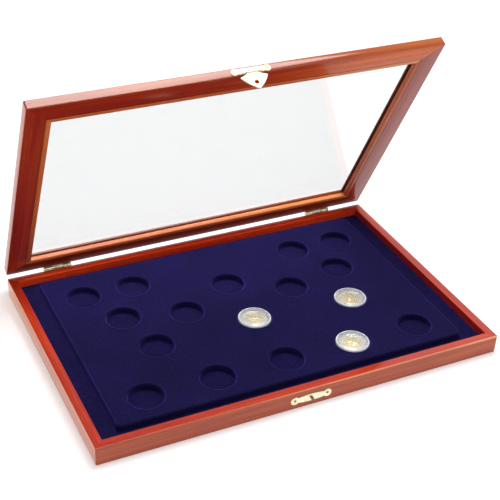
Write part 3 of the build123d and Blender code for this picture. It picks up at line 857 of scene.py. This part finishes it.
def eared_relief(ear_x, knob=None):
    """A raised border, dished ears, a few ribs, and a ring of radius knob round a stud."""
    def relief(x, y, distance):
        height = 0.16 * ridge(distance, 0.75, 0.38)
        for side in (-1, 1):
            radius = np.hypot(x - side * ear_x, y)
            height = height - 0.22 * smooth_step(-radius, -2.0, -1.2) + 0.10 * ridge(radius, 2.3, 0.4)
            for k in range(3):
                line = np.abs(np.abs(x) - (ear_x - 5.2 - 1.25 * k) - 0.12 * y)
                rib = np.clip(1 - line / 0.32, 0, 1) * (distance > 1.1) * (np.sign(x) == side)
                height = height + 0.10 * rib
        if knob:
            height = height + 0.14 * ridge(np.hypot(x, y), knob, 0.4)
        return height
    return relief


def hasp_plate_shape():
    """Eared plate with a gap for the flap's knuckle, and the two outer knuckles."""
    outline = eared_outline(hasp_form)
    gap_top = hasp_axis_height + knuckle + 0.25 - hasp_plate_middle
    gap_half = flap_knuckle_half + 0.2
    low = -float(plate_height(gap_half, hasp_form))
    gone = [i for i, (x, y) in enumerate(outline) if y < 0 and abs(x) < gap_half]
    gap = [(-gap_half, low), (-gap_half, gap_top), (gap_half, gap_top), (gap_half, low)]
    outline[gone[0]:gone[-1] + 1] = gap
    parts = [stamped([outline], hasp_thickness - ear_depth, eared_relief(hasp_ear_x))]
    knuckle_end = 10.0
    for side in (-1, 1):
        barrel = knuckle_shape(knuckle, knuckle_end - gap_half)
        middle = side * (gap_half + knuckle_end) / 2
        parts.append(along_x(barrel, middle, hasp_axis_height - hasp_plate_middle, hasp_axis_out))
    return joined(*parts)


def flap_outline():
    """The shield, with fine scallops along its bulging sides."""
    shoulder, length, half, tip = 4.6, 18.6, 12.7, 1.6
    right = [(flap_knuckle_half, 0.0), (flap_knuckle_half, -knuckle - 0.3)]
    neck, corner = Vector(right[-1]), Vector((half, -shoulder))
    right += [tuple(neck.lerp(corner, t)) for t in (0.3, 0.6, 0.85)]
    right += arc((half - 0.75, -shoulder - 0.62), 0.95, 52, -38, 5)
    begin, end = Vector(right[-1]), Vector((tip, -length + 0.5))
    through = Vector((half * 0.66, -shoulder - (length - shoulder) * 0.52))
    control = through * 2 - (begin + end) / 2
    out = (through - Vector((0, -9))).normalized()
    count, scallops, scallop_depth = 60, 7, 0.28
    for k in range(1, count):
        t = k / count
        point = begin * (1 - t) ** 2 + control * 2 * t * (1 - t) + end * t ** 2
        dip = scallop_depth * abs(math.sin(math.pi * scallops * t)) - scallop_depth
        right.append(tuple(point + out * dip))
    right += arc((0, -length + 1.75), 1.75, -25, -90, 6)
    return right + [(-x, y) for x, y in right[:-1]][::-1]


def flap_shape():
    """The pierced flap with its own knuckle, hanging down from the pin at the origin."""
    hole_drop, hole_radius = hasp_axis_height - catch_height, 2.0

    def relief(x, y, distance):
        height = 0.16 * ridge(distance, 0.85, 0.4) * (y < -2.2)
        height = height + 0.12 * ridge(np.hypot(x, y + hole_drop), 3.3, 0.45)
        for side in (-1, 1):
            height = height + 0.14 * ridge(np.hypot(x - side * 7.6, y + 6.6), 0.0, 0.9)
        return height

    plate = stamped([flap_outline(), circle(0, -hole_drop, hole_radius, 36)], 0.64, relief)
    barrel = along_x(knuckle_shape(knuckle, 2 * flap_knuckle_half))
    return joined(moved(plate, Matrix.Translation((0, 0, -0.4))), barrel)


catch_relief = eared_relief(catch_ear_x, 2.35)
catch_plate = stamped([eared_outline(catch_form)], catch_thickness - ear_depth, catch_relief)
fit("catch_plate_brass", catch_plate, satin_brass, "case", on_front(0, catch_height), "catch_plate")

stud_out = 3.5 - catch_thickness
stud_shank = [(0, -3.8), (1.2, -3.6), (1.2, 0.0)]
stud_neck = [(1.42, 0.02), (1.42, 0.35), (1.05, 0.7), (0.95, 1.15), (1.05, 1.55)]
stud_head = [(1.38, 1.75), (1.45, 2.0), (1.38, 2.3), (1.05, 2.62), (0.55, stud_out - 0.03), (0, stud_out)]
stud = lathe(stud_shank + stud_neck + stud_head, 40)
fit("catch_stud", stud, aged_and_shaded_brass, "case", on_front(0, catch_height, catch_thickness), "catch_knob")

nail_head, nail_shank, nail_length, rim, head_sunk = 1.15, 0.5, 4.8, 0.08, 0.3
point = [(0, -nail_length), (nail_shank * 0.3, -nail_length + 0.6), (nail_shank, -nail_length + 1.4)]
head = [(nail_head - 0.06, 0), (nail_head, rim)]
head += [(r, z + rim) for r, z in dome_profile(nail_head, 0.5 - rim)[1:]]
nail_mesh = build_mesh("escutcheon_nail", lathe(point + [(nail_shank, 0)] + head, 40))
for side, name in ((-1, "left"), (1, "right")):
    on_ear = on_front(side * catch_ear_x, catch_height, catch_thickness - head_sunk)
    place(f"catch_nail_{name}", nail_mesh, aged_and_shaded_brass, "case", on_ear, "catch_nails")
    on_ear = lid_pose @ on_front(side * hasp_ear_x, hasp_plate_middle, hasp_thickness - head_sunk)
    place(f"hasp_nail_{name}", nail_mesh, pale_brass, "lid", on_ear, "hasp_nails")

on_lid = lid_pose @ on_front(0, hasp_plate_middle)
fit("hasp_plate_brass", hasp_plate_shape(), pale_brass, "lid", on_lid, "hasp_plate")
on_axis = lid_pose @ on_front(0, hasp_axis_height, hasp_axis_out)
fit("hasp_pin_brass", along_x(knuckle_shape(0.55, 20.6, 0.2)), pale_brass, "lid", on_axis, "hasp_pin")
fit("hasp_flap_brass", flap_shape(), pale_brass, "hasp_flap_body", on_axis, "hasp_flap")

# ---- hinges ----
hinge_spread, hinge_width = 148.0, 28.0
hinge_knuckle, knuckle_gap, middle_knuckle = 2.4, 0.2, 10.6
leaf_thickness, leaf_height, leaf_corner = 1.0, 6.9, 0.9
screw_spread, screw_drop = 9.0, 4.6


def leaf_shape(side):
    """A leaf with its own knuckles, flat on the back face; side is -1 on the base and 1 on the lid."""
    clear_of_pin, at_pin = hinge_knuckle + 0.2, 0.3
    outer, inner = hinge_width / 2, middle_knuckle / 2
    spans, ends, middle, bend = [(-inner, inner)], clear_of_pin, at_pin, 0.2
    if side < 0:
        inner += knuckle_gap
        spans, ends, middle, bend = [(-outer, -inner), (inner, outer)], at_pin, clear_of_pin, 0
    corners = [
        (outer, ends, bend), (outer, leaf_height, leaf_corner), (-outer, leaf_height, leaf_corner),
        (-outer, ends, bend), (-inner, ends, 0), (-inner, middle, 0), (inner, middle, 0), (inner, ends, 0),
    ]
    outline = rounded([(x, side * y, radius) for x, y, radius in corners])

    def relief(x, y, distance):
        height = 0.0 * x
        for s in (-1, 1):
            from_screw = np.hypot(x - s * screw_spread, y - side * screw_drop)
            height = height - 0.18 * smooth_step(-from_screw, -1.9, -1.4)
        return height

    parts = [stamped([outline], leaf_thickness, relief, 0.6, 0.15)]
    for low, high in spans:
        barrel = knuckle_shape(hinge_knuckle, high - low, 0.22)
        parts.append(along_x(barrel, (low + high) / 2, 0, hinge_y - half_depth))
    return joined(*parts)


def screw_shape():
    """Round-headed wood screw with a slot across its head, head up at z = 0."""
    radius, rise, rim, slot_half, slot_floor = 1.5, 0.5, 0.08, 0.22, 0.2
    shank = lathe([(0, -5.8), (0.25, -5.2), (0.8, -4.0), (0.8, -0.01), (0, -0.01)], 24)
    foot = lathe([(0, 0), (radius, 0), (radius, 0.06), (radius - 0.05, slot_floor), (0, slot_floor)], 48)
    half_profile = [(radius, 0.0)]
    half_profile += [(max(r, slot_half * 1.02), z + rim) for r, z in dome_profile(radius, rise - rim)]
    halves = []
    for side in (-1, 1):
        loops = []
        for r, z in half_profile:
            start = math.asin(slot_half / r)
            turns = np.linspace(start, math.pi - start, 25).tolist()
            loops.append([(r * math.cos(t), side * r * math.sin(t), z) for t in turns])
        halves.append(stacked(loops))
    return joined(shank, *halves, foot)


screw_mesh = build_mesh("wood_screw", screw_shape())
pin_end = hinge_width / 2 + 0.05
half_pin = [(1.0, 0), (1.0, pin_end)] + [(r, pin_end + z) for r, z in dome_profile(1.35, 0.5)]
hinge_pin = lathe([(r, -z) for r, z in half_pin[::-1]] + half_pin[1:], 32)
hinge_pin_mesh = build_mesh("hinge_pin", along_x(hinge_pin))
hinge_sides = (
    ("base", -1, "case", Matrix(), build_mesh("hinge_base_leaf", leaf_shape(-1))),
    ("lid", 1, "lid", lid_pose, build_mesh("hinge_lid_leaf", leaf_shape(1))),
)
for hinge, hinge_x in (("hinge_left", -hinge_spread), ("hinge_right", hinge_spread)):
    for part, side, body, pose, leaf_mesh in hinge_sides:
        on_back = pose @ at(hinge_x, half_depth, hinge_z) @ turned(90, "X") @ turned(180, "Y")
        place(f"{hinge}_{part}_plate", leaf_mesh, hinge_brass, body, on_back, f"{hinge}_{part}_leaf")
        for number, s in enumerate((-1, 1), 1):
            in_leaf = on_back @ at(s * screw_spread, side * screw_drop, leaf_thickness - 0.2)
            screw = f"{hinge}_{part}_screw"
            place(f"{screw}_{number}", screw_mesh, pale_brass, body, in_leaf, f"{screw}s")
    on_axis = at(hinge_x, hinge_y, hinge_z)
    place(f"{hinge}_pin_brass", hinge_pin_mesh, pale_brass, "case", on_axis, f"{hinge}_pin")

# ---- capsules and coins ----
nickel = brass("nickel_silver", (0.96, 0.96, 0.94), (0.60, 0.58, 0.55), 0.24, 0.5, 620)
gold = brass("coin_gold", (1.0, 0.95, 0.68), (0.66, 0.53, 0.30), 0.24, 0.5, 620)

window_recess, window_thickness = 1.1, 1.0
coin_radius, core_radius, coin_thickness = 12.875, 9.375, 2.2
coin_rim, coin_field = 0.9, 0.15
seat_radius = coin_radius + 0.1
coin_level = window_recess + window_thickness


def sprig(x, y):
    """A stem with paired leaves and one at the top, as heights from 0 to 1."""
    height = 0.8 * np.clip(1 - np.abs(x + 0.25 * np.sin(y * 0.5)) / 0.28, 0, 1) * ((y > -7) & (y < 4.2))
    leaves = [(side, -4.6 + 2.3 * k, 2.35 - 0.28 * k) for k in range(4) for side in (-1, 1)]
    for side, start, length in leaves + [(0, 4.4, 1.7)]:
        tilt = math.radians(90 - 52 * side)
        along, aside = math.cos(tilt), math.sin(tilt)
        cx, cy = along * length, start + aside * length
        u = (x - cx) * along + (y - cy) * aside
        v = -(x - cx) * aside + (y - cy) * along
        width = 0.36 * length * np.clip(1 - (u / length) ** 2, 0, 1)
        leaf = np.clip(1 - np.abs(v) / np.maximum(width, 1e-3), 0, 1) ** 0.6
        vein = 1 - 0.45 * np.clip(1 - np.abs(v) / 0.14, 0, 1)
        height = np.maximum(height, leaf * vein * (np.abs(u) < length))
    return height


def core_relief(x, y):
    """Face of the coin's core: a sprig inside a fine line, between two short rows of dots."""
    line_radius, dots_radius, dot_step = 8.7, 7.4, 0.17
    height = np.maximum(sprig(x, y), 0.7 * ridge(np.hypot(x, y), line_radius, 0.22))
    for k in range(-3, 4):
        for side in (0, math.pi):
            spot = side + k * dot_step
            dot = np.hypot(x - dots_radius * math.cos(spot), y - dots_radius * math.sin(spot))
            height = np.maximum(height, 0.8 * ridge(dot, 0, 0.42))
    return height


def ring_relief(x, y):
    """Face of the coin's outer ring: a line of small pellets between two fine lines."""
    pellets, pellets_radius = 32, 10.9
    radius, angle = np.hypot(x, y), np.arctan2(y, x)
    nearest = np.round(angle * pellets / (2 * math.pi)) * 2 * math.pi / pellets
    dot = np.hypot(x - pellets_radius * np.cos(nearest), y - pellets_radius * np.sin(nearest))
    lines = np.maximum(ridge(radius, 9.85, 0.18), ridge(radius, 11.8, 0.14))
    return np.maximum(0.9 * ridge(dot, 0, 0.5), 0.6 * lines)


def coin_shape(inner, outer, relief, radial, segments):
    """A struck piece between two radii, with the relief on top and a raised rim on both faces."""
    angles = np.linspace(0, 2 * math.pi, segments, endpoint=False)
    rim_start = coin_radius - coin_rim
    rim_full = rim_start + 0.15
    under = np.linspace(inner, outer, 6)
    over = np.linspace(outer, inner, radial)
    if outer > rim_start:
        under = (inner, rim_start, rim_full, outer - 0.2, outer)
        over = (outer, outer - 0.1, outer - 0.25, rim_full, *np.linspace(rim_start, inner, radial))
    points, rings = [], []
    for r, top in [(r, False) for r in under] + [(r, True) for r in over]:
        x, y = r * np.cos(angles), r * np.sin(angles)
        lift = coin_field * smooth_step(r, rim_start, rim_full)
        lift -= 0.12 * smooth_step(r, coin_radius - 0.25, coin_radius)
        if top and r <= rim_start:
            lift = lift + 0.85 * coin_field * relief(x, y)
        level = coin_thickness - coin_field + lift if top else coin_field - lift
        rings.append(list(range(len(points), len(points) + segments)))
        points += list(zip(x.tolist(), y.tolist(), np.broadcast_to(level, x.shape).tolist()))
    if inner > 0:
        rings.append(rings[0])
    return points, loop_faces(rings)


core_mesh = build_mesh("coin_core", coin_shape(0.0, core_radius, core_relief, 90, 220), 70)
ring_mesh = build_mesh("coin_ring", coin_shape(core_radius, coin_radius, ring_relief, 34, 320), 70)

capsule_height, edge, bore, rim, seat = 6.5, 15.9, 15.0, 14.0, seat_radius + 0.8
joint, seat_top, window_top = capsule_height / 2, coin_level + coin_thickness, capsule_height - window_recess
window_low = window_top - window_thickness
cup = [
    (0, window_recess, 0), (rim, window_recess, 0.3), (rim, 0, 0.2), (edge, 0, 0.35), (edge, joint, 0.12),
    (bore, joint, 0.1), (bore, coin_level, 0.3), (seat, coin_level, 0.2), (seat, seat_top, 0.25),
    (seat_radius, seat_top, 0.15), (seat_radius, coin_level, 0.0), (0, coin_level, 0),
]
cover = [
    (0, window_low, 0), (bore, window_low, 0.3), (bore, joint, 0.1), (edge, joint, 0.12),
    (edge, capsule_height, 0.45), (rim, capsule_height, 0.3), (rim, window_top, 0.35), (0, window_top, 0),
]
cup_mesh = build_mesh("capsule_cup", lathe(rounded(cup, 3), 128))
cover_mesh = build_mesh("capsule_cover", lathe(rounded(cover, 4), 128))
for number, x, y, coin_turn in ((1, 0.0, -15.4, 62), (2, 102.4, -20.6, -23), (3, 69.0, -83.4, 37)):
    body, coin = f"capsule_{number}", f"coin_{number}"
    foot = at(x, y, channel_level)
    on_window = foot @ at(0, 0, coin_level) @ turned(coin_turn, "Z")
    plastic = clear_with_painted_rim_light(f"{body}_plastic", foot, seat_radius, seat_radius + 0.6)
    place(f"{body}_cup", cup_mesh, plastic, body, foot, f"{body}_bottom")
    place(f"{body}_cover", cover_mesh, plastic, body, foot, f"{body}_top")
    place(f"{coin}_outer", ring_mesh, nickel, body, on_window, f"{coin}_ring")
    place(f"{coin}_inner", core_mesh, gold, body, on_window, f"{coin}_core")


# ---- floor, light and camera ----
# The floor reads as white where no shadow falls, and a little darker through glass.
floor_shade = Shader("studio_floor")
floor_grain = floor_shade.noise(40, detail=2)
floor_white = floor_shade.ramp(floor_grain, (0.3, (0.86, 0.86, 0.86)), (0.7, (0.88, 0.88, 0.88)))
floor_shade.set(Base_Color=floor_white, Roughness=0.9, Emission_Color=(1, 1, 1))
floor_shade.set(Emission_Strength=floor_shade.by_ray(0.0, 0.38, 0.25, 0.38))
reach, drop = 6.0, 0.0002
floor_mesh = bpy.data.meshes.new("studio_floor")
floor_corners = [(x * reach, y * reach, -drop) for x, y in ((-1, -1), (1, -1), (1, 1), (-1, 1))]
floor_mesh.from_pydata(floor_corners, [], [(0, 1, 2, 3)])
floor_mesh.materials.append(floor_shade.material)
floor = add_to_scene("studio_floor", floor_mesh)

# The surround gives plain light, is white where it is seen, and is dimmer overhead in reflections.
world = bpy.data.worlds.new("studio")
bpy.context.scene.world = world
world.use_nodes = True
sky = Nodes(world.node_tree)
height = sky.node("SeparateXYZ", {0: sky.node("TexCoord").outputs["Generated"]}).outputs["Z"]
mirrored = sky.range(height, 0.65, 0.85, 0.9, 0.33)
through_glass = sky.range(height, 0.1, 0.3, 1.0, 0.3)
background, fallen_level = sky.tree.nodes["Background"], 0.45
sky.feed(background.inputs["Strength"], sky.by_ray(fallen_level, mirrored, through_glass, 1.0))
sky.feed(background.inputs["Color"], (1, 1, 1))

lamp = bpy.data.lights.new("overhead_light", "AREA")
lamp.shape = "RECTANGLE"
lamp.size, lamp.size_y = 0.76, 0.9
lamp.energy = 17.5
lamp_place, lamp_aim = Vector((0.34, 0.3, 1.75)), Vector((0, 0, 0.05))
lamp_turn = (lamp_aim - lamp_place).to_track_quat("-Z", "Y").to_matrix().to_4x4()
overhead_light = add_to_scene("overhead_light", lamp)
overhead_light.matrix_world = Matrix.Translation(lamp_place) @ lamp_turn
overhead_light.visible_camera = False

camera_place = Vector((-0.40835, -0.79042, 0.65863))
camera_azimuth, camera_elevation, camera_roll = -27.27, 32.86, 3.08
camera_data = bpy.data.cameras.new("photo_camera")
camera_data.lens = 81.61
camera_data.sensor_width = 36.0
camera = add_to_scene("photo_camera", camera_data)
camera.matrix_world = (Matrix.Translation(camera_place) @ turned(camera_azimuth, "Z")
                       @ turned(90 - camera_elevation, "X") @ turned(camera_roll, "Z"))
bpy.context.scene.camera = camera
bpy.context.scene.view_settings.view_transform = "Standard"
